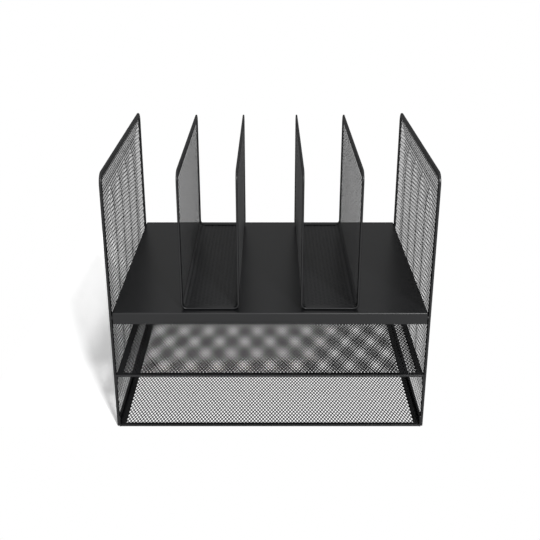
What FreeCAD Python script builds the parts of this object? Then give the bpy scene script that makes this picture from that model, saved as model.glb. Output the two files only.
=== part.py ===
"""Mesh desk organiser: two side panels, a solid top shelf with two U-shaped dividers standing on it,
and two mesh letter shelves below. Millimetres, +Z up. The origin is the middle of the base, the front
faces -Y and the letters lie on the shelves with their ends towards the front.
"""
import FreeCAD, Part
import math
import os

Vector = FreeCAD.Vector

# ---- driving dimensions -------------------------------------------------------------------------
WIDTH = 330.8                 # over the outer faces of the frames of the two side panels
DEPTH = 279.0                 # front edge to rear edge of a side panel
HEIGHT = 283.4                # desk to the top edge of a side panel

# sheet stock
MESH_T = 0.4                  # expanded-metal sheet
SLOT_CLEARANCE = 0.05         # air on each face of a mesh sheet inside the folded edge that grips it
FOLD_AIR = 0.3                # air between the edge of a mesh sheet and the bottom of its slot

# side panels: a folded strip round the edge of a mesh sheet that is pressed outwards inside it
PANEL_T = 2.4
PANEL_BORDER = 6.0            # width of the folded strip seen on the inner face
PANEL_TOP_R = 12.0            # rounded top corners
PANEL_FOOT_R = 2.0            # bottom corners
PANEL_SLOT = 4.0              # depth of the slot that grips the mesh
PANEL_MESH_IN = 1.2           # middle of the gripped edge of the mesh, measured in from the outer face
PRESS_DEPTH = 3.45            # how far the field of the mesh stands out from its gripped edge
PRESS_MARGIN = 2.0            # flat strip between the frame and the slope up to that field
PRESS_BAND = 19.5             # width of the slope
EDGE_ROUND = 0.8              # rounding of the folded outer edges
LIP_ROUND = 0.25              # rounding of the cut inner edges

# vertical ribs that wave back inwards from the field of the side mesh
RIB_COUNT = 4                 # spaced evenly about the middle of the depth
RIB_PITCH = 48.9
RIB_HALF_WIDTH = 23.4
RIB_HEIGHT = 3.2
RIB_END = 28.0                # from the top and the bottom edge of the panel to the rib tips
RIB_TAPER = 35.0              # length over which a rib fades out at each end
RIB_LEVELS = (0.35, 0.6, 0.8, 0.93)   # shares of that length at which a fading rib is drawn
RIB_TIP = 0.04                # share of the full rib section left at a tip
RIB_STEPS = 6                 # points drawn on each flank of a rib

# shelves
SHELF_AIR = 0.5               # between a shelf and a side panel
BOTTOM_SHELF_AIR = 0.1
TOP_SHELF_Z = 136.2           # upper face of the solid top shelf
TOP_SHELF_T = 0.8
TOP_SHELF_LIP = 12.8          # height of the turned-down edge all round
TOP_BEND_R = 1.8              # outer radius of that bend
MIDDLE_SHELF_Z = 63.7         # upper face of the middle shelf
MIDDLE_SHELF_T = 2.6
BOTTOM_SHELF_T = 2.0          # the bottom shelf lies on the desk
SHELF_SIDE_BORDER = 6.2
SHELF_END_BORDER = 5.0        # front and rear strips of the mesh shelves
SHELF_SLOT = 3.0
SHELF_EDGE_ROUND = 0.6
TAB_T = 0.9                   # fixing tabs at the corners of the mesh shelves
TAB_HEIGHT = 11.0
TAB_EDGE_R = 1.5

# U-shaped dividers standing on the top shelf
DIVIDER_SPAN = 60.3           # outer face to outer face of the two uprights
DIVIDER_CENTRE = 61.85        # middle of a divider from the middle of the organiser
DIVIDER_FRONT = 7.6           # set back from the front edge of the side panels
DIVIDER_REAR = 9.0            # set in from the rear edge
DIVIDER_T = 2.0
DIVIDER_ROUND = 0.8           # rounding of the folded edges of its rim
DIVIDER_BORDER = 7.0
DIVIDER_SLOT = 4.0
DIVIDER_BEND_R = 6.0          # outer radius of the bends at the foot of the uprights
DIVIDER_TOP_R = 12.0

# countersunk screws through the side panels into the shelves
SIDE_SCREW_R = 1.5
SIDE_HEAD_R = 2.3
SIDE_SCREW_LENGTH = 3.4
SCREW_CLEARANCE = 0.15        # radial, where a screw passes through a sheet
MESH_HOLE_CLEARANCE = 0.3     # radial, where a screw passes through a mesh sheet
THREAD_CLEARANCE = 0.05       # radial, where it is held in a tapped hole
BOSS_R = 2.6                  # raised pads of the top shelf that meet the side panels
DRIVE_DEPTH = 0.6
DRIVE_LENGTH = 3.0
DRIVE_WIDTH = 0.7

# pan-head screws through the top shelf into the divider feet
FOOT_SCREW_R = 1.5
FOOT_HEAD_R = 2.6
FOOT_HEAD_T = 1.6
FOOT_HEAD_ROUND = 0.8
FOOT_SCREW_SKIN = 0.3         # metal of the divider's foot left above the screw
FOOT_SCREW_SPREAD = 36.0      # between the two screws across one divider foot

# drawing aids
PAST = 5.0                    # how far a cutting shape runs past the metal
NEAR = 0.01                   # reach for picking an edge by its place
EXACT = 1e-6                  # for directions and planes that must agree

# ---- derived places -----------------------------------------------------------------------------
FRONT = -DEPTH / 2
REAR = DEPTH / 2
PANEL_OUTER = WIDTH / 2
PANEL_INNER = PANEL_OUTER - PANEL_T
SIDE_MESH_X = PANEL_OUTER - PANEL_MESH_IN
SHELF_HALF = PANEL_INNER - SHELF_AIR
BOTTOM_SHELF_HALF = PANEL_INNER - BOTTOM_SHELF_AIR
SLOT_T = MESH_T + 2 * SLOT_CLEARANCE
SCREW_ROWS = (FRONT + PANEL_BORDER / 2, REAR - PANEL_BORDER / 2)
TOP_SCREW_Z = TOP_SHELF_Z - TOP_SHELF_LIP / 2
MIDDLE_SCREW_Z = MIDDLE_SHELF_Z - MIDDLE_SHELF_T - TAB_HEIGHT / 2
BOTTOM_SCREW_Z = BOTTOM_SHELF_T + TAB_HEIGHT / 2
DIVIDER_Y0 = FRONT + DIVIDER_FRONT
DIVIDER_Y1 = REAR - DIVIDER_REAR
FOOT_SCREW_ROWS = (DIVIDER_Y0 + DIVIDER_BORDER / 2, DIVIDER_Y1 - DIVIDER_BORDER / 2)
FOOT_SCREW_BITE = DIVIDER_T - FOOT_SCREW_SKIN


# ---- small helpers ------------------------------------------------------------------------------
def box(x0, x1, y0, y1, z0, z1):
    """A box between two corners."""
    return Part.makeBox(x1 - x0, y1 - y0, z1 - z0, Vector(x0, y0, z0))


def rod(radius, start, end):
    """A round bar between two points."""
    return Part.makeCylinder(radius, (end - start).Length, start, end - start)


def mirrored(shape):
    """The same piece on the other side of the organiser."""
    return shape.mirror(Vector(0, 0, 0), Vector(1, 0, 0))


def rounded(solid, radius, wanted):
    """Fillet the edges for which wanted(edge) is true."""
    return solid.makeFillet(radius, [edge for edge in solid.Edges if wanted(edge)])


def runs_along(edge, axis):
    """True for a straight edge parallel to axis."""
    if not isinstance(edge.Curve, Part.Line):
        return False
    return abs(abs(edge.tangentAt(edge.FirstParameter).dot(axis)) - 1) < EXACT


def joined(first, others):
    """One solid made of touching shapes."""
    for other in others:
        first = first.fuse(other)
    return first.removeSplitter()


def one_solid(shape):
    """The single solid inside a boolean result."""
    solids = shape.Solids
    assert len(solids) == 1, "expected one solid, found %d" % len(solids)
    return solids[0]


# ---- side panels --------------------------------------------------------------------------------
def panel_slab(x0, x1, inset, top_r, foot_r):
    """The side outline, drawn in by inset all round, as a slab between x0 and x1."""
    slab = box(x0, x1, FRONT + inset, REAR - inset, inset, HEIGHT - inset)
    across = Vector(1, 0, 0)
    middle = HEIGHT / 2
    slab = rounded(slab, top_r, lambda e: runs_along(e, across) and e.CenterOfMass.z > middle)
    return rounded(slab, foot_r, lambda e: runs_along(e, across) and e.CenterOfMass.z < middle)


def side_screw_cut(y, z, shank_r):
    """The room that one countersunk screw takes in the right-hand panel."""
    head_depth = SIDE_HEAD_R - SIDE_SCREW_R
    outside = Vector(PANEL_OUTER, y, z)
    inward = Vector(-1, 0, 0)
    shank = rod(shank_r, outside + inward * (PANEL_T + PAST), outside)
    growth = shank_r - SIDE_SCREW_R
    cone = Part.makeCone(SIDE_HEAD_R + growth, shank_r, head_depth, outside, inward)
    return shank.fuse(cone)


def side_screw_places():
    """Where the screws of the right-hand panel are, shelf by shelf."""
    return {
        "top_shelf": [(y, TOP_SCREW_Z) for y in SCREW_ROWS],
        "middle_shelf": [(y, MIDDLE_SCREW_Z) for y in SCREW_ROWS],
        "bottom_shelf": [(y, BOTTOM_SCREW_Z) for y in SCREW_ROWS],
    }


def side_frame():
    """The folded strip round the right-hand panel, slotted for its mesh."""
    ring = panel_slab(PANEL_INNER, PANEL_OUTER, 0, PANEL_TOP_R, PANEL_FOOT_R)
    ring = ring.makeFillet(EDGE_ROUND, outline_edges(ring))
    window_r = PANEL_TOP_R - PANEL_BORDER
    window = panel_slab(PANEL_INNER - PAST, PANEL_OUTER + PAST, PANEL_BORDER, window_r, PANEL_FOOT_R)
    ring = ring.cut(window)
    ring = ring.makeFillet(LIP_ROUND, [e for e in outline_edges(ring) if inside_window(e)])
    slot_inset = PANEL_BORDER - PANEL_SLOT
    slot = panel_slab(SIDE_MESH_X - SLOT_T / 2, SIDE_MESH_X + SLOT_T / 2, slot_inset,
                      PANEL_TOP_R - slot_inset, PANEL_FOOT_R)
    ring = ring.cut(slot)
    for places in side_screw_places().values():
        for y, z in places:
            ring = ring.cut(side_screw_cut(y, z, SIDE_SCREW_R + SCREW_CLEARANCE))
    return one_solid(ring)


def outline_edges(solid):
    """Edges that lie flat in the inner or the outer face of the right-hand panel."""
    found = []
    for edge in solid.Edges:
        bounds = edge.BoundBox
        to_face = min(abs(bounds.XMin - PANEL_INNER), abs(bounds.XMin - PANEL_OUTER))
        if bounds.XLength < EXACT and to_face < EXACT:
            found.append(edge)
    return found


def inside_window(edge):
    """True for an edge of the opening, not of the outside of a panel."""
    bounds = edge.BoundBox
    border = PANEL_BORDER - NEAR
    in_depth = bounds.YMin > FRONT + border and bounds.YMax < REAR - border
    return in_depth and bounds.ZMin > border and bounds.ZMax < HEIGHT - border


def rib_section(share, x_field, skirt):
    """Outline of a rib across its length: a smooth wave over a short skirt, bulging towards -X."""
    half_width, height = RIB_HALF_WIDTH * share, RIB_HEIGHT * share
    points = []
    for step in range(-RIB_STEPS, RIB_STEPS + 1):
        across = step / RIB_STEPS
        rise = height * (1 + math.cos(math.pi * across)) / 2
        points.append(Vector(x_field - rise, half_width * across, 0))
    level = Vector(0, 1, 0)
    wave = Part.BSplineCurve()
    wave.interpolate(Points=points, InitialTangent=level, FinalTangent=level)
    left, right = points[0], points[-1]
    back = Vector(skirt, 0, 0)
    return [wave.toShape(), Part.makeLine(right, right + back),
            Part.makeLine(right + back, left + back), Part.makeLine(left + back, left)]


def rib(y, x_field, skirt):
    """One vertical rib with ends that fade out, on the right-hand panel."""
    fading = [(RIB_TAPER * level, 1 - level ** 2) for level in RIB_LEVELS] + [(RIB_TAPER, RIB_TIP)]
    high_start, low_start = HEIGHT - RIB_END - RIB_TAPER, RIB_END + RIB_TAPER
    levels = [(low_start - beyond, share) for beyond, share in reversed(fading)]
    levels += [(low_start, 1), (high_start, 1)]
    levels += [(high_start + beyond, share) for beyond, share in fading]
    wires = []
    for z, share in levels:
        wire = Part.Wire(rib_section(share, x_field, skirt))
        wire.translate(Vector(0, y, z))
        wires.append(wire)
    return Part.makeLoft(wires, True, True)


def rib_rows():
    """Y of each rib."""
    return [RIB_PITCH * (index - (RIB_COUNT - 1) / 2) for index in range(RIB_COUNT)]


def upright_rectangle(x, inset):
    """The side outline without its rounding, drawn in by inset, as a wire in the plane at x."""
    y0, y1, z0, z1 = FRONT + inset, REAR - inset, inset, HEIGHT - inset
    corners = [Vector(x, y, z) for y, z in ((y0, z0), (y1, z0), (y1, z1), (y0, z1), (y0, z0))]
    return Part.makePolygon(corners)


def outside_of_mesh(x_rim, inset):
    """All that lies outwards of the pressed surface whose flat rim is at x_rim, within the side
    outline drawn in by inset."""
    body = panel_slab(x_rim, x_rim + PRESS_DEPTH + PAST, inset, PANEL_TOP_R - inset, PANEL_FOOT_R)
    slope_start = PANEL_BORDER + PRESS_MARGIN
    mouth = upright_rectangle(x_rim - MESH_T, slope_start - MESH_T * PRESS_BAND / PRESS_DEPTH)
    x_field = x_rim + PRESS_DEPTH
    field = upright_rectangle(x_field, slope_start + PRESS_BAND)
    body = body.cut(Part.makeLoft([mouth, field], True, True))
    for y in rib_rows():
        body = body.fuse(rib(y, x_field, PAST / 2))
    return body


def side_mesh():
    """The pressed mesh sheet of the right-hand panel."""
    inset = PANEL_BORDER - PANEL_SLOT + FOLD_AIR
    inner, outer = SIDE_MESH_X - MESH_T / 2, SIDE_MESH_X + MESH_T / 2
    sheet = outside_of_mesh(inner, inset).cut(outside_of_mesh(outer, inset - MESH_T))
    for places in side_screw_places().values():
        for y, z in places:
            sheet = sheet.cut(side_screw_cut(y, z, SIDE_SCREW_R + MESH_HOLE_CLEARANCE))
    return one_solid(sheet)


# ---- shelves ------------------------------------------------------------------------------------
def top_shelf():
    """Solid sheet turned down all round, with raised pads at its side screws."""
    z0, z1 = TOP_SHELF_Z - TOP_SHELF_LIP, TOP_SHELF_Z
    upright = Vector(0, 0, 1)
    pan = box(-SHELF_HALF, SHELF_HALF, FRONT, REAR, z0, z1)
    pan = rounded(pan, TOP_BEND_R, lambda e: runs_along(e, upright) or e.CenterOfMass.z > z1 - NEAR)
    half = SHELF_HALF - TOP_SHELF_T
    ceiling = z1 - TOP_SHELF_T
    hollow = box(-half, half, FRONT + TOP_SHELF_T, REAR - TOP_SHELF_T, z0 - PAST, ceiling)
    hollow = rounded(hollow, TOP_BEND_R - TOP_SHELF_T,
                     lambda e: runs_along(e, upright) or e.CenterOfMass.z > ceiling - NEAR)
    pan = pan.cut(hollow)
    pads = []
    for side in (-1, 1):
        for y in SCREW_ROWS:
            inside = Vector(side * (SHELF_HALF - TOP_SHELF_T / 2), y, TOP_SCREW_Z)
            pads.append(rod(BOSS_R, inside, Vector(side * PANEL_INNER, y, TOP_SCREW_Z)))
    pan = joined(pan, pads)
    pan = tapped_from_the_sides(pan, TOP_SCREW_Z)
    for x, y in foot_screw_places():
        hole_r = FOOT_SCREW_R + SCREW_CLEARANCE
        pan = pan.cut(rod(hole_r, Vector(x, y, z1 - PAST), Vector(x, y, z1 + PAST)))
    return one_solid(pan)


def tapped_from_the_sides(shelf, screw_z):
    """A shelf with the holes that its four side screws hold in, at height screw_z."""
    reach = Vector(PAST, 0, 0)
    for side in (-1, 1):
        for y in SCREW_ROWS:
            middle = Vector(side * PANEL_INNER, y, screw_z)
            shelf = shelf.cut(rod(SIDE_SCREW_R + THREAD_CLEARANCE, middle - reach, middle + reach))
    return shelf


def shelf_slab(half, z0, z1, side_inset, end_inset):
    """The outline of a mesh shelf of that half width, drawn in at the sides and at the ends."""
    reach = half - side_inset
    return box(-reach, reach, FRONT + end_inset, REAR - end_inset, z0, z1)


def fixing_tab(side, at_front, z0, z1):
    """A corner tab that lies against the side panel's border, between heights z0 and z1."""
    y0 = FRONT if at_front else REAR - PANEL_BORDER
    outer, inner = side * PANEL_INNER, side * (PANEL_INNER - TAB_T)
    return box(min(outer, inner), max(outer, inner), y0, y0 + PANEL_BORDER, z0, z1)


def shelf_frame(half, top_z, thickness, tab_end_z, screw_z):
    """Folded strip round a mesh shelf, slotted for the mesh, with corner tabs that run from the
    strip to the height tab_end_z."""
    z0, z1 = top_z - thickness, top_z
    along = Vector(0, 1, 0)
    across = Vector(1, 0, 0)
    ring = shelf_slab(half, z0, z1, 0, 0)
    ring = rounded(ring, SHELF_EDGE_ROUND, lambda e: runs_along(e, along) or runs_along(e, across))
    ring = ring.cut(shelf_slab(half, z0 - PAST, z1 + PAST, SHELF_SIDE_BORDER, SHELF_END_BORDER))
    tabs = [fixing_tab(side, at_front, min(z0, tab_end_z), max(z1, tab_end_z))
            for side in (-1, 1) for at_front in (True, False)]
    tabs = [rounded(tab, TAB_EDGE_R, lambda e: runs_along(e, across) and
                    abs(e.CenterOfMass.z - tab_end_z) < NEAR) for tab in tabs]
    ring = joined(ring, tabs)
    middle = (z0 + z1) / 2
    ring = ring.cut(shelf_slab(half, middle - SLOT_T / 2, middle + SLOT_T / 2,
                               SHELF_SIDE_BORDER - SHELF_SLOT, SHELF_END_BORDER - SHELF_SLOT))
    return one_solid(tapped_from_the_sides(ring, screw_z))


def middle_shelf_frame():
    """Its tabs hang below the strip."""
    tab_end = MIDDLE_SHELF_Z - MIDDLE_SHELF_T - TAB_HEIGHT
    return shelf_frame(SHELF_HALF, MIDDLE_SHELF_Z, MIDDLE_SHELF_T, tab_end, MIDDLE_SCREW_Z)


def bottom_shelf_frame():
    """Its tabs stand on the strip."""
    tab_end = BOTTOM_SHELF_T + TAB_HEIGHT
    return shelf_frame(BOTTOM_SHELF_HALF, BOTTOM_SHELF_T, BOTTOM_SHELF_T, tab_end, BOTTOM_SCREW_Z)


def shelf_mesh(half, top_z, thickness):
    """The mesh sheet gripped by a shelf's folded strip."""
    middle = top_z - thickness / 2
    return shelf_slab(half, middle - MESH_T / 2, middle + MESH_T / 2,
                      SHELF_SIDE_BORDER - SHELF_SLOT + FOLD_AIR, SHELF_END_BORDER - SHELF_SLOT + FOLD_AIR)


# ---- dividers -----------------------------------------------------------------------------------
def u_shell(inset, thickness, end_inset):
    """A U of sheet that opens upwards, standing at X = 0: its outer face is drawn in by inset from
    the outside of the divider, and its front, rear and top edges by end_inset."""
    half = DIVIDER_SPAN / 2 - inset
    z0 = TOP_SHELF_Z + inset
    y0, y1 = DIVIDER_Y0 + end_inset, DIVIDER_Y1 - end_inset
    top = HEIGHT - end_inset
    along = Vector(0, 1, 0)
    bend_r = DIVIDER_BEND_R - inset
    body = box(-half, half, y0, y1, z0, top)
    body = rounded(body, bend_r, lambda e: runs_along(e, along) and e.CenterOfMass.z < z0 + NEAR)
    inner_half = half - thickness
    floor_z = z0 + thickness
    hollow = box(-inner_half, inner_half, y0 - PAST, y1 + PAST, floor_z, top + PAST)
    hollow = rounded(hollow, bend_r - thickness,
                     lambda e: runs_along(e, along) and e.CenterOfMass.z < floor_z + NEAR)
    shell = body.cut(hollow)
    across = Vector(1, 0, 0)
    side_view = box(-half - PAST, half + PAST, y0, y1, z0 - PAST, top)
    side_view = rounded(side_view, DIVIDER_TOP_R - end_inset,
                        lambda e: runs_along(e, across) and e.CenterOfMass.z > top - NEAR)
    return shell.common(side_view)


def rim_edge(edge):
    """True for an edge along the front, the rear or the top of a U of sheet, on either face of it."""
    if runs_along(edge, Vector(0, 1, 0)):
        return edge.CenterOfMass.z > HEIGHT - NEAR
    if runs_along(edge, Vector(1, 0, 0)):
        return edge.Length > DIVIDER_T + NEAR
    return True


def divider_frame():
    """Folded rim round the U-shaped mesh of one divider, standing at X = 0."""
    rim = rounded(u_shell(0, DIVIDER_T, 0), DIVIDER_ROUND, rim_edge)
    across = Vector(1, 0, 0)
    window_top = HEIGHT - DIVIDER_BORDER
    window = box(-DIVIDER_SPAN, DIVIDER_SPAN, DIVIDER_Y0 + DIVIDER_BORDER, DIVIDER_Y1 - DIVIDER_BORDER,
                 TOP_SHELF_Z - PAST, window_top)
    window = rounded(window, DIVIDER_TOP_R - DIVIDER_BORDER,
                     lambda e: runs_along(e, across) and e.CenterOfMass.z > window_top - NEAR)
    rim = rim.cut(window)
    rim = rim.cut(u_shell((DIVIDER_T - SLOT_T) / 2, SLOT_T, DIVIDER_BORDER - DIVIDER_SLOT))
    for x, y in foot_screw_spots():
        hole_r = FOOT_SCREW_R + THREAD_CLEARANCE
        end_z = TOP_SHELF_Z + FOOT_SCREW_BITE + THREAD_CLEARANCE
        rim = rim.cut(rod(hole_r, Vector(x, y, TOP_SHELF_Z - PAST), Vector(x, y, end_z)))
    return one_solid(rim)


def divider_mesh():
    """The U-shaped mesh sheet of one divider, standing at X = 0."""
    sheet = u_shell((DIVIDER_T - MESH_T) / 2, MESH_T, DIVIDER_BORDER - DIVIDER_SLOT + FOLD_AIR)
    for x, y in foot_screw_spots():
        hole_r = FOOT_SCREW_R + MESH_HOLE_CLEARANCE
        low, high = Vector(x, y, TOP_SHELF_Z - PAST), Vector(x, y, TOP_SHELF_Z + PAST)
        sheet = sheet.cut(rod(hole_r, low, high))
    return one_solid(sheet)


def foot_screw_spots():
    """Screw axes in the foot of a divider that stands at X = 0."""
    return [(x, y) for x in (-FOOT_SCREW_SPREAD / 2, FOOT_SCREW_SPREAD / 2) for y in FOOT_SCREW_ROWS]


def foot_screw_places():
    """Screw axes of both dividers, in the organiser's own frame."""
    return [(x + side * DIVIDER_CENTRE, y) for side in (-1, 1) for x, y in foot_screw_spots()]


# ---- screws -------------------------------------------------------------------------------------
def cross_recess(centre, inward):
    """The cross-shaped drive cut in a screw head; inward points into the screw."""
    length, width = DRIVE_LENGTH / 2, DRIVE_WIDTH / 2
    slots = [box(-length, length, -width, width, 0, DRIVE_DEPTH),
             box(-width, width, -length, length, 0, DRIVE_DEPTH)]
    cross = slots[0].fuse(slots[1])
    cross.Placement = FreeCAD.Placement(centre, FreeCAD.Rotation(Vector(0, 0, 1), inward))
    return cross


def side_screw(y, z):
    """Countersunk screw in the right-hand panel, its head flush with the outer face."""
    outside = Vector(PANEL_OUTER, y, z)
    inward = Vector(-1, 0, 0)
    head = Part.makeCone(SIDE_HEAD_R, SIDE_SCREW_R, SIDE_HEAD_R - SIDE_SCREW_R, outside, inward)
    shank = rod(SIDE_SCREW_R, outside, outside + inward * SIDE_SCREW_LENGTH)
    return one_solid(head.fuse(shank).removeSplitter().cut(cross_recess(outside, inward)))


def side_screws(places):
    """The screws that hold one shelf to both side panels."""
    right = [side_screw(y, z) for y, z in places]
    return Part.makeCompound(right + [mirrored(screw) for screw in right])


def foot_screw(x, y):
    """Pan-head screw under the top shelf."""
    under = Vector(x, y, TOP_SHELF_Z - TOP_SHELF_T)
    up = Vector(0, 0, 1)
    head = rod(FOOT_HEAD_R, under - up * FOOT_HEAD_T, under)
    head_end = under.z - FOOT_HEAD_T
    head = rounded(head, FOOT_HEAD_ROUND, lambda e: abs(e.CenterOfMass.z - head_end) < NEAR)
    shank = rod(FOOT_SCREW_R, under, under + up * (TOP_SHELF_T + FOOT_SCREW_BITE))
    screw = head.fuse(shank).removeSplitter()
    return one_solid(screw.cut(cross_recess(under - up * FOOT_HEAD_T, up)))


def foot_screws(side):
    """The screws under one divider."""
    spots = foot_screw_spots()
    return Part.makeCompound([foot_screw(x + side * DIVIDER_CENTRE, y) for x, y in spots])


# ---- the organiser ------------------------------------------------------------------------------
def all_nodes():
    """Every node of the organiser by name."""
    nodes = {"top_shelf": top_shelf()}
    frame, mesh = side_frame(), side_mesh()
    nodes["side_frame_right"], nodes["side_mesh_right"] = frame, mesh
    nodes["side_frame_left"], nodes["side_mesh_left"] = mirrored(frame), mirrored(mesh)
    nodes["middle_shelf_frame"] = middle_shelf_frame()
    nodes["middle_shelf_mesh"] = shelf_mesh(SHELF_HALF, MIDDLE_SHELF_Z, MIDDLE_SHELF_T)
    nodes["bottom_shelf_frame"] = bottom_shelf_frame()
    nodes["bottom_shelf_mesh"] = shelf_mesh(BOTTOM_SHELF_HALF, BOTTOM_SHELF_T, BOTTOM_SHELF_T)
    rim, sheet = divider_frame(), divider_mesh()
    for name, side in (("left", -1), ("right", 1)):
        shift = Vector(side * DIVIDER_CENTRE, 0, 0)
        nodes["divider_frame_" + name] = rim.translated(shift)
        nodes["divider_mesh_" + name] = sheet.translated(shift)
        nodes["divider_screws_" + name] = foot_screws(side)
    for shelf, places in side_screw_places().items():
        nodes[shelf + "_screws"] = side_screws(places)
    return nodes


os.makedirs("parts", exist_ok=True)
for node_name, shape in all_nodes().items():
    assert shape.isValid(), node_name
    shape.exportStep("parts/" + node_name + ".step")
    print("%-22s %d solid(s), %.1f mm3" % (node_name, len(shape.Solids), shape.Volume))
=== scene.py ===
"""Looks of the mesh desk organiser: the diamond mesh of its sheets, its powder coat and its screws, on a
white table in soft studio light. Metres, +Z up, the open front faces -Y.
"""
import math

import bpy
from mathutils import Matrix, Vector


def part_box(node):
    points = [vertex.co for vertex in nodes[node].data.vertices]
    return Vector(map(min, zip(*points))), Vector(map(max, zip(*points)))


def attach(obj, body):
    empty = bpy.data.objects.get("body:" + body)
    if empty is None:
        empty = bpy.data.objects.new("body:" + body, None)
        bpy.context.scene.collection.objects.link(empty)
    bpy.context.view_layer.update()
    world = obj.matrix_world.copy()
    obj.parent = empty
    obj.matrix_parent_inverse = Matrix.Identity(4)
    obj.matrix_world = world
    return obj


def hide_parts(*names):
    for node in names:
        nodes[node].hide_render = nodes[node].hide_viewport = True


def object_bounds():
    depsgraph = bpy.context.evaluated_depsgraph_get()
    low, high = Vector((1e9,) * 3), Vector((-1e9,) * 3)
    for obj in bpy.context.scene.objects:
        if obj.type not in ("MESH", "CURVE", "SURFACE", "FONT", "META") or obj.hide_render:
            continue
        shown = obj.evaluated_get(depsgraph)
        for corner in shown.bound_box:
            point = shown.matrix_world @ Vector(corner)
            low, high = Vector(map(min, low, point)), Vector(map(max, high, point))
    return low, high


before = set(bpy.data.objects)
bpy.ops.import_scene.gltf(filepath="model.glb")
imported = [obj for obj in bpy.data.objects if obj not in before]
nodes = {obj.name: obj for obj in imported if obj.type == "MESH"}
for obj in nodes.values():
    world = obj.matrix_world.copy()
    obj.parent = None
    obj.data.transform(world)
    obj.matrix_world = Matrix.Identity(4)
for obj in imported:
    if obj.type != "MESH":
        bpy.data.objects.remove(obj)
cad_low, cad_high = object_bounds()

MM = 0.001

# ---- diamond mesh ---------------------------------------------------------------------------------
SIDE_LONG = 8.7 * MM              # side panels and dividers: the long diagonal runs up and down
SIDE_SHORT = 3.76 * MM
PANEL_STRAND = 1.22 * MM          # width of a strand of the side panels
SLOPE_STRAND = 0.98 * MM          # the same where pressing has drawn the sheet out into a slope
SLOPE_REACH = 21.5 * MM           # from the rim of the sheet to the top of that slope
PANEL_SHEET = 0.13 * MM           # thickness of the strands of the side panels
DIVIDER_STRAND = 1.26 * MM
DIVIDER_SHEET = 0.08 * MM
SHELF_LONG = 7.5 * MM             # letter shelves: the long diagonal runs along the depth
SHELF_SHORT = 3.76 * MM
SHELF_STRAND = 0.94 * MM
SHELF_SHEET = 0.35 * MM           # they have the heavier mesh
PRESS_START = 1 * MM              # from the rim to where a side sheet starts before it is pressed
SLIVER = 0.35                     # share of a diamond below which a cut cell stays closed
STRAIGHT = 0.1 * MM               # how far out of line the two ends of a grid edge may be

# ---- outlines that the sheets follow --------------------------------------------------------------
PANEL_TOP_R = 12 * MM
PANEL_BORDER = 6 * MM
DIVIDER_TOP_R = 12 * MM
DIVIDER_BORDER = 7 * MM
DIVIDER_BEND_R = 6 * MM           # outside of the bend at the foot of an upright

# ---- finishes: colours are red, green, blue and 1, and patterns are in bumps per metre ------------
WHITE = (1, 1, 1, 1)
SHEET_DARK = (0.004, 0.0042, 0.0048, 1)       # powder coat of the folded strips and the top shelf
SHEET_LIGHT = (0.008, 0.0083, 0.0092, 1)
SHEET_ROUGHNESS = 0.3
MESH_DARK = (0.011, 0.0114, 0.0124, 1)        # powder coat of the mesh
MESH_LIGHT = (0.017, 0.0175, 0.0188, 1)
MESH_ROUGHNESS = 0.36
UPRIGHT_PAINTED_LIGHT = (0.04, 0.0405, 0.0415, 1)    # painted light: a paler colour for the mesh that stands up from the top shelf, for the light it catches
FLAKE_COLOUR = (0.8, 0.8, 0.8, 1)
FLAKE_SHARE = 0.044               # of the light, which metal flakes in the powder coat mirror
PIGMENT_ROUGHNESS = 0.7
PEEL = 900.0                      # the orange peel of the powder coat
PEEL_HEIGHT = 0.01 * MM
PEEL_STRENGTH = 0.6
SPECKLE = 2600.0
CLOUD = 22.0
STEEL_DARK = (0.018, 0.018, 0.02, 1)          # of the screws
STEEL_LIGHT = (0.05, 0.05, 0.053, 1)
STEEL_METALLIC = 0.6
STEEL_ROUGHNESS = 0.34
WEAR = 1800.0                     # the marks on the screws
WEAR_HEIGHT = 0.01 * MM
WEAR_STRENGTH = 0.5
PAINT_DARK = 0.79                 # share of the light that the table top returns
PAINT_LIGHT = 0.81
PAINT_GRAIN = 40.0

# ---- table, camera and light ----------------------------------------------------------------------
TABLE_SIZE = 30.0
TABLE_MIDDLE = (0, 8, 0)          # most of it lies behind the organiser
EYE_FROM_FRONT = 0.8098           # from the front plane of the organiser to the camera
EYE_HEIGHT = 0.5224
LOOK_DOWN = math.radians(22.68)
LENS = 58.29
SENSOR = 36.0
SUN_PER_DROP = Vector((-0.485, 1.13, -1.0))   # how far the key light travels for each unit it drops
SUN_SPREAD = math.radians(7)
KEY_LEVEL = 0.5                   # share of a level white surface's brightness that the key light gives
SKY_LEVEL = 0.5
TABLE_LEFT = 1.41                 # how bright the table reads where it shows shadows, on the left
TABLE_BEHIND = 1.0                # and behind: the sun's line past the rear left corner parts the two
TABLE_LEAST = 0.06                # brightness of the darkest shadow that it could show
FOOTPRINT_EDGE = 4 * MM           # over which the shadows fade out under the bottom shelf
SHADOW_EDGE = 15 * MM             # and round the patch that they fall on
SHADOW_TURN = 40 * MM             # over which the left part of that patch turns into the part behind
SHADOW_LEFT = 320 * MM            # how far left and how far back that patch reaches
SHADOW_BACK = 480 * MM


# ---- shader nodes ---------------------------------------------------------------------------------
class Value:
    """A number that varies over a surface, usable in ordinary arithmetic."""

    def __init__(self, finish, socket):
        self.finish = finish
        self.socket = socket

    def combine(self, operation, left, right):
        made = self.finish.node("ShaderNodeMath", {"operation": operation}, {0: left, 1: right})
        return Value(self.finish, made.outputs[0])

    def __add__(self, other):
        return self.combine("ADD", self, other)

    def __radd__(self, other):
        return self.combine("ADD", other, self)

    def __sub__(self, other):
        return self.combine("SUBTRACT", self, other)

    def __rsub__(self, other):
        return self.combine("SUBTRACT", other, self)

    def __mul__(self, other):
        return self.combine("MULTIPLY", self, other)

    def __rmul__(self, other):
        return self.combine("MULTIPLY", other, self)

    def __abs__(self):
        return self.combine("ABSOLUTE", self, 0.0)


def least(first, second):
    """The smaller of two values."""
    return first.combine("MINIMUM", first, second)


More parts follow.
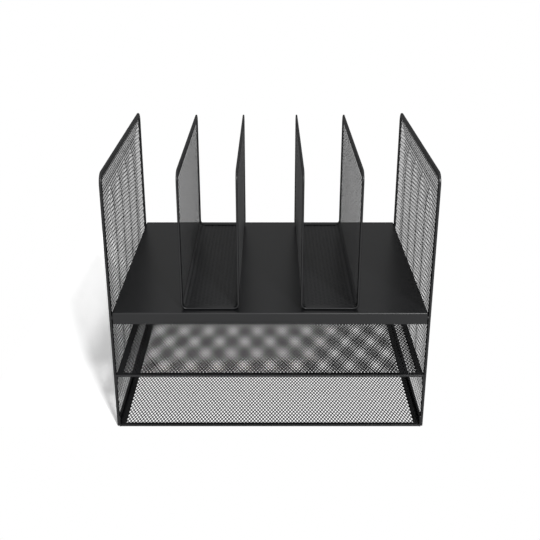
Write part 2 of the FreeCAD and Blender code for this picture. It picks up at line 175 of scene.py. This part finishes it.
class Finish:
    """One material, or the world, and the nodes in it."""

    def __init__(self, name, kind=bpy.data.materials):
        self.owner = kind.new(name)
        self.owner.use_nodes = True
        self.tree = self.owner.node_tree
        self.tree.nodes.clear()

    def node(self, kind, settings=None, sockets=None):
        """A node of that type, its settings made first, then its sockets filled or linked."""
        made = self.tree.nodes.new(kind)
        for key, value in (settings or {}).items():
            setattr(made, key, value)
        for key, value in (sockets or {}).items():
            if isinstance(value, Value):
                value = value.socket
            if isinstance(value, bpy.types.NodeSocket):
                self.tree.links.new(value, made.inputs[key])
            else:
                made.inputs[key].default_value = value
        return made

    def value(self, made, output=0):
        return Value(self, made.outputs[output])

    def place(self):
        """Where on the piece a point lies, in metres."""
        return self.node("ShaderNodeTexCoord").outputs["Object"]

    def parts(self, place):
        """The node that takes a place apart into X, Y and Z."""
        return self.node("ShaderNodeSeparateXYZ", {}, {0: place})

    def noise(self, place, scale, detail=2.0, roughness=0.5):
        """Noise between 0 and 1 at place; scale is in bumps per metre."""
        made = self.node("ShaderNodeTexNoise", {}, {
            "Vector": place, "Scale": scale, "Detail": detail, "Roughness": roughness})
        return self.value(made, "Fac")

    def rise(self, number, start, end):
        """Smooth step from 0 at start to 1 at end."""
        made = self.node("ShaderNodeMapRange", {"interpolation_type": "SMOOTHSTEP"}, {
            "Value": number, "From Min": start, "From Max": end})
        return self.value(made)

    def blend(self, share, first, second):
        """Colour between first and second."""
        made = self.node("ShaderNodeMix", {"data_type": "RGBA"}, {0: share, 6: first, 7: second})
        return made.outputs[2]

    def bump(self, height, distance, strength):
        """Normal of a surface whose relief is height times distance."""
        made = self.node("ShaderNodeBump", {}, {
            "Strength": strength, "Distance": distance, "Height": height})
        return made.outputs["Normal"]

    def mix(self, share, first, second):
        """The node that mixes the shaders of two nodes, with that share of the second."""
        return self.node("ShaderNodeMixShader", {}, {0: share, 1: first.outputs[0], 2: second.outputs[0]})

    def seen_directly(self):
        """1 where the eye sees it, by itself or in a mirror or through glass, and 0 for diffuse light."""
        path = self.node("ShaderNodeLightPath")
        eye = self.value(path, "Is Camera Ray")
        return eye + self.value(path, "Is Glossy Ray") + self.value(path, "Is Transmission Ray")

    def close(self, shader, kind="ShaderNodeOutputMaterial"):
        """Lead the shader of a node to the output, and hand over the finished material or world."""
        self.node(kind, {}, {"Surface": shader.outputs[0]})
        return self.owner


def grey(level):
    return (level, level, level, 1)


def powder_coat(name, dark, light, roughness, upright=None):
    """Satin black powder coat: matt pigment with a fine orange peel and faint cloudiness, and over it
    the small share of light that metal flakes mirror. upright is a paler colour painted on what stands
    up from the top shelf: painted light, standing in for the light that the uprights catch."""
    finish = Finish(name)
    place = finish.place()
    peel = finish.noise(place, PEEL, detail=3.0, roughness=0.6)
    speckle = finish.noise(place, SPECKLE)
    cloud = finish.noise(place, CLOUD)
    # the shares of the patterns in the relief, and again in the tone, add up to 1
    normal = finish.bump(peel * 0.7 + speckle * 0.3, PEEL_HEIGHT, PEEL_STRENGTH)
    colour = finish.blend(cloud * 0.6 + speckle * 0.4, dark, light)
    # painted light: the uprights get a paler colour than the foot of the divider, for the light they catch
    if upright:
        colour = finish.blend(above_shelf(finish, place), colour, upright)
    pigment = finish.node("ShaderNodeBsdfPrincipled", {}, {
        "Base Color": colour,
        "Roughness": PIGMENT_ROUGHNESS + speckle * 0.1,
        "Specular IOR Level": 0.0,
        "Normal": normal,
    })
    flakes = finish.node("ShaderNodeBsdfPrincipled", {}, {
        "Base Color": FLAKE_COLOUR,
        "Metallic": 1.0,
        "Roughness": roughness - 0.04 + cloud * 0.06 + speckle * 0.05,
        "Normal": normal,
    })
    return finish.close(finish.mix(FLAKE_SHARE, pigment, flakes))


def above_shelf(finish, place):
    """0 on the foot of a divider, and 1 on its uprights, where the paler colour of painted light goes."""
    _, shelf_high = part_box("top_shelf")
    height = finish.value(finish.parts(place), 2)
    return finish.rise(height, shelf_high.z + DIVIDER_BEND_R / 2, shelf_high.z + 2 * DIVIDER_BEND_R)


def screw_black():
    """Blackened steel with fine marks of wear."""
    finish = Finish("screw_black")
    wear = finish.noise(finish.place(), WEAR, detail=3.0, roughness=0.6)
    steel = finish.node("ShaderNodeBsdfPrincipled", {}, {
        "Base Color": finish.blend(wear, STEEL_DARK, STEEL_LIGHT),
        "Metallic": STEEL_METALLIC,
        "Roughness": STEEL_ROUGHNESS + wear * 0.12,
        "Normal": finish.bump(wear, WEAR_HEIGHT, WEAR_STRENGTH),
    })
    return finish.close(steel)


def white_table():
    """White table top. The eye sees it white, with the shadows of the organiser on the patch behind and
    left of it but none under it, so that the mesh reads against white; surfaces are lit by it as by
    plain white."""
    finish = Finish("white_table")
    place = finish.place()
    grain = finish.noise(place, PAINT_GRAIN)
    paint = finish.node("ShaderNodeBsdfPrincipled", {}, {
        "Base Color": finish.blend(grain, grey(PAINT_DARK), grey(PAINT_LIGHT)),
        "Roughness": 1.0,
        "Specular IOR Level": 0.0,
    })
    # painted light: where shadow_patch is 0 the eye sees the table glow plain white; under the bottom
    # shelf, right of the organiser and in front of it this glow stands in place of its shadows
    plain = finish.node("ShaderNodeEmission", {}, {"Color": WHITE, "Strength": 1.0})
    parts = finish.parts(place)
    x = finish.value(parts, 0)
    y = finish.value(parts, 1)
    seen = finish.mix(shadow_patch(finish, x, y), plain, shadowed_table(finish, x, y))
    return finish.close(finish.mix(finish.seen_directly(), paint, seen))


def shadowed_table(finish, x, y):
    """The shader that shows shadows, brighter on the left than behind."""
    left = finish.node("ShaderNodeBsdfDiffuse", {}, {"Color": grey(TABLE_LEFT)})
    behind = finish.node("ShaderNodeBsdfDiffuse", {}, {"Color": grey(TABLE_BEHIND)})
    slant = SUN_PER_DROP.x / SUN_PER_DROP.y
    past_rear = (x - cad_low.x) - (y - cad_high.y) * slant
    shade = finish.mix(finish.rise(past_rear, 0.0, SHADOW_TURN), left, behind)
    lowest = finish.node("ShaderNodeEmission", {}, {"Color": WHITE, "Strength": TABLE_LEAST})
    return finish.node("ShaderNodeAddShader", {}, {0: shade.outputs[0], 1: lowest.outputs[0]})


def shadow_patch(finish, x, y):
    """1 on the patch of table that shows shadows, and 0 under the bottom shelf, right of the organiser,
    in front of it and beyond the patch."""
    _, mesh_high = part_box("bottom_shelf_mesh")
    within = least(mesh_high.x - abs(x), mesh_high.y - abs(y))
    under = finish.rise(within, 0.0, FOOTPRINT_EDGE)
    beside = finish.rise(least(cad_high.x - x, y - cad_low.y), 0.0, FOOTPRINT_EDGE)
    reached = finish.rise(least(x + SHADOW_LEFT, SHADOW_BACK - y), 0.0, SHADOW_EDGE)
    return reached * beside * (1 - under)


# ---- modelling helpers ----------------------------------------------------------------------------
def deselect():
    bpy.ops.object.select_all(action="DESELECT")


def edit(piece, kind):
    """Edit mode on piece alone, in vertex, edge or face mode, with nothing selected."""
    deselect()
    piece.select_set(True)
    bpy.context.view_layer.objects.active = piece
    bpy.ops.object.mode_set(mode="EDIT")
    bpy.ops.mesh.select_mode(type=kind)
    bpy.ops.mesh.select_all(action="DESELECT")


def pick(piece, group, wanted):
    """Select only those of a piece's edges or polygons, whichever group says, that are wanted."""
    bpy.ops.mesh.select_all(action="DESELECT")
    bpy.ops.object.mode_set(mode="OBJECT")
    for element in getattr(piece.data, group):
        element.select = wanted(element)
    bpy.ops.object.mode_set(mode="EDIT")


def done(piece):
    bpy.ops.object.mode_set(mode="OBJECT")
    piece.select_set(False)


def apply_all(piece):
    """Apply every modifier of piece in order."""
    deselect()
    piece.select_set(True)
    bpy.context.view_layer.objects.active = piece
    for modifier in list(piece.modifiers):
        bpy.ops.object.modifier_apply(modifier=modifier.name)
    piece.select_set(False)


def edge_ends(piece, edge):
    vertices = piece.data.vertices
    return vertices[edge.vertices[0]].co, vertices[edge.vertices[1]].co


# ---- mesh sheets ----------------------------------------------------------------------------------
def diamond_sheet(name, width, depth, diamond, corner_cuts):
    """A flat sheet of diamonds, centred on the origin: width runs along X and depth along Y, and
    diamond holds the two diagonals in that order. corner_cuts holds, for each corner sign pair, how
    far in its corner is cut off."""
    columns = round(width / diamond[0])
    rows = round(depth / diamond[1])
    deselect()
    bpy.ops.mesh.primitive_grid_add(x_subdivisions=columns, y_subdivisions=rows, size=1)
    sheet = bpy.context.object
    sheet.name = sheet.data.name = name
    edit(sheet, "EDGE")
    bpy.ops.mesh.select_all(action="SELECT")
    bpy.ops.transform.resize(value=(width, depth, 1))
    bpy.ops.mesh.poke()

    def of_grid(edge):
        start, end = edge_ends(sheet, edge)
        return abs(start.x - end.x) < STRAIGHT or abs(start.y - end.y) < STRAIGHT

    # what stays are the slanting edges from the middle of each cell of the grid to its corners
    bpy.ops.mesh.select_mode(type="EDGE")
    pick(sheet, "edges", of_grid)
    bpy.ops.mesh.dissolve_edges(use_verts=False, use_face_split=False)
    for (side, end), cut in corner_cuts.items():
        corner = Vector((side * width / 2, end * depth / 2, 0))
        outward = Vector((side, end, 0)).normalized()
        bpy.ops.mesh.select_all(action="SELECT")
        bpy.ops.mesh.bisect(plane_co=corner - outward * cut, plane_no=outward, clear_outer=True)
    done(sheet)
    return sheet


def open_diamonds(sheet, strand, wanted=lambda place: True):
    """Open every cell of a sheet whose middle is wanted, leaving strands of that width between them.
    A strand is itself too narrow to be opened by a second call."""
    whole = max(face.area for face in sheet.data.polygons)
    edit(sheet, "FACE")
    pick(sheet, "polygons", lambda face: face.area > SLIVER * whole and wanted(face.center))
    bpy.ops.mesh.inset(thickness=strand / 2, use_individual=True, use_even_offset=True)
    bpy.ops.mesh.delete(type="FACE")
    done(sheet)


def thicken(sheet, thickness, side):
    """Give a sheet its thickness: side 1 grows it the way that its faces look, -1 the other way and 0
    both ways."""
    solid = sheet.modifiers.new("thickness", "SOLIDIFY")
    solid.thickness = thickness
    solid.offset = side
    apply_all(sheet)


def finish_sheet(sheet, node, coat):
    sheet.data.materials.clear()
    sheet.data.materials.append(coat)
    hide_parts(node)
    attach(sheet, "root")


def corner_cut(radius, border, inset):
    """How far in from the corner of a sheet, drawn in by inset, the middle of the border's arc lies."""
    from_outline = radius * (math.sqrt(2) - 1) + border / 2
    return from_outline - inset * math.sqrt(2)


def side_mesh(side, coat):
    """Pressed mesh of one side panel: side is -1 for the left panel and 1 for the right one."""
    node = "side_mesh_left" if side < 0 else "side_mesh_right"
    low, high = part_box(node)
    height = high.z - low.z
    depth = high.y - low.y
    inset = low.z - cad_low.z
    cut = corner_cut(PANEL_TOP_R, PANEL_BORDER, inset)
    sheet = diamond_sheet(node + "_diamonds", height, depth, (SIDE_LONG, SIDE_SHORT),
                          {(1, -1): cut, (1, 1): cut})

    def in_field(place):
        return abs(place.x) < height / 2 - SLOPE_REACH and abs(place.y) < depth / 2 - SLOPE_REACH

    open_diamonds(sheet, PANEL_STRAND, in_field)
    open_diamonds(sheet, SLOPE_STRAND, lambda place: not in_field(place))
    # stand it up: the width of the flat sheet becomes the height, and its faces look to the left
    centre = (low + high) / 2
    for vertex in sheet.data.vertices:
        vertex.co = Vector((0, vertex.co.y + centre.y, vertex.co.x + centre.z))
    press(sheet, node, side)
    # outwards from that inner face, within the thickness of the CAD sheet
    thicken(sheet, PANEL_SHEET, -side)
    finish_sheet(sheet, node, coat)


def press(sheet, node, side):
    """Press the sheet outwards onto the inner face of its CAD sheet, with the raised field and its ribs."""
    low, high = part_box(node)
    rim = high.x if side < 0 else low.x
    start = rim - side * PRESS_START
    for vertex in sheet.data.vertices:
        vertex.co.x = start
    wrap = sheet.modifiers.new("pressing", "SHRINKWRAP")
    wrap.target = nodes[node]
    wrap.wrap_method = "PROJECT"
    wrap.use_project_x = True
    wrap.use_positive_direction = side > 0
    wrap.use_negative_direction = side < 0
    apply_all(sheet)
    # vertices on the outline itself miss the CAD sheet, and have not moved
    for vertex in sheet.data.vertices:
        if abs(vertex.co.x - start) < PRESS_START / 2:
            vertex.co.x = rim


def shelf_mesh(node, coat):
    """Flat mesh of a letter shelf."""
    low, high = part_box(node)
    sheet = diamond_sheet(node + "_diamonds", high.x - low.x, high.y - low.y,
                          (SHELF_SHORT, SHELF_LONG), {})
    open_diamonds(sheet, SHELF_STRAND)
    centre = (low + high) / 2
    for vertex in sheet.data.vertices:
        vertex.co += centre
    thicken(sheet, SHELF_SHEET, 0)
    finish_sheet(sheet, node, coat)


def fold_up(sheet, start, radius):
    """Bend the part of a flat sheet beyond X = start upwards, round a bend of that radius. A negative
    start bends the other side."""
    side = math.copysign(1, start)
    bend = radius * math.pi / 2
    for vertex in sheet.data.vertices:
        beyond = side * vertex.co.x - abs(start)
        if beyond <= 0:
            continue
        turn = min(beyond / radius, math.pi / 2)
        straight_up = max(beyond - bend, 0)
        vertex.co.x = start + side * radius * math.sin(turn)
        vertex.co.z += radius * (1 - math.cos(turn)) + straight_up


def divider_mesh(side, coat):
    """U-shaped mesh of one divider: side is -1 for the left one and 1 for the right one."""
    node = "divider_mesh_left" if side < 0 else "divider_mesh_right"
    low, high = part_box(node)
    _, rim_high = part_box(node.replace("mesh", "frame"))
    inset = rim_high.z - high.z
    radius = DIVIDER_BEND_R - frame_thickness() / 2
    half = (high.x - low.x) / 2 - mesh_thickness() / 2
    base_z = low.z + mesh_thickness() / 2
    flat_half = half - radius
    upright = high.z - base_z - radius
    width = 2 * (flat_half + radius * math.pi / 2 + upright)
    cut = corner_cut(DIVIDER_TOP_R, DIVIDER_BORDER, inset)
    cuts = {(a, b): cut for a in (-1, 1) for b in (-1, 1)}
    sheet = diamond_sheet(node + "_diamonds", width, high.y - low.y, (SIDE_LONG, SIDE_SHORT), cuts)
    open_diamonds(sheet, DIVIDER_STRAND)
    fold_up(sheet, flat_half, radius)
    fold_up(sheet, -flat_half, radius)
    centre = (low + high) / 2
    for vertex in sheet.data.vertices:
        vertex.co += Vector((centre.x, centre.y, base_z))
    thicken(sheet, DIVIDER_SHEET, 0)
    finish_sheet(sheet, node, coat)


def mesh_thickness():
    """Thickness of the sheet that a mesh is cut from."""
    low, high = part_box("middle_shelf_mesh")
    return high.z - low.z


def frame_thickness():
    """Thickness of a divider's rim: the mesh lies in its middle."""
    rim_low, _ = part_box("divider_frame_left")
    low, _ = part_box("divider_mesh_left")
    return 2 * (low.x - rim_low.x) + mesh_thickness()


# ---- table, light and camera ----------------------------------------------------------------------
def table(coat):
    deselect()
    bpy.ops.mesh.primitive_plane_add(size=TABLE_SIZE, location=TABLE_MIDDLE)
    top = bpy.context.object
    top.name = "table_top"
    bpy.ops.object.transform_apply(location=True)
    top.data.materials.append(coat)


def key_light():
    """A soft, even light from the front, high on the right."""
    data = bpy.data.lights.new("key", "SUN")
    data.angle = SUN_SPREAD
    level_share = -SUN_PER_DROP.normalized().z    # of the light, which a level surface catches
    data.energy = KEY_LEVEL * math.pi / level_share
    body = bpy.data.objects.new("key", data)
    bpy.context.scene.collection.objects.link(body)
    body.rotation_euler = SUN_PER_DROP.to_track_quat("-Z", "Y").to_euler()


def surroundings():
    """White to the eye, an even pale grey to the surfaces it lights."""
    studio = Finish("studio", bpy.data.worlds)
    soft = studio.node("ShaderNodeBackground", {}, {"Color": WHITE, "Strength": SKY_LEVEL})
    white = studio.node("ShaderNodeBackground", {}, {"Color": WHITE, "Strength": 1.0})
    both = studio.mix(studio.seen_directly(), soft, white)
    bpy.context.scene.world = studio.close(both, "ShaderNodeOutputWorld")


def camera():
    data = bpy.data.cameras.new("camera")
    data.lens = LENS
    data.sensor_width = SENSOR
    eye = bpy.data.objects.new("camera", data)
    bpy.context.scene.collection.objects.link(eye)
    eye.location = (0, cad_low.y - EYE_FROM_FRONT, EYE_HEIGHT)
    eye.rotation_euler = (math.pi / 2 - LOOK_DOWN, 0, 0)
    bpy.context.scene.camera = eye


# ---- the organiser --------------------------------------------------------------------------------
camera()
surroundings()
table(white_table())
key_light()

sheet_coat = powder_coat("powder_coat", SHEET_DARK, SHEET_LIGHT, SHEET_ROUGHNESS)
mesh_coat = powder_coat("mesh_coat", MESH_DARK, MESH_LIGHT, MESH_ROUGHNESS)
# the dividers' coat, with painted light: their uprights paler than their foot
divider_coat_painted_light = powder_coat("divider_coat_painted_light", MESH_DARK, MESH_LIGHT, MESH_ROUGHNESS, UPRIGHT_PAINTED_LIGHT)
screw_coat = screw_black()
for name, piece in nodes.items():
    if "_mesh" in name:
        continue
    piece.data.materials.clear()
    piece.data.materials.append(screw_coat if "screws" in name else sheet_coat)

for which in (-1, 1):
    side_mesh(which, mesh_coat)
    divider_mesh(which, divider_coat_painted_light)
shelf_mesh("middle_shelf_mesh", mesh_coat)
shelf_mesh("bottom_shelf_mesh", mesh_coat)

bpy.context.scene.view_settings.view_transform = "Standard"
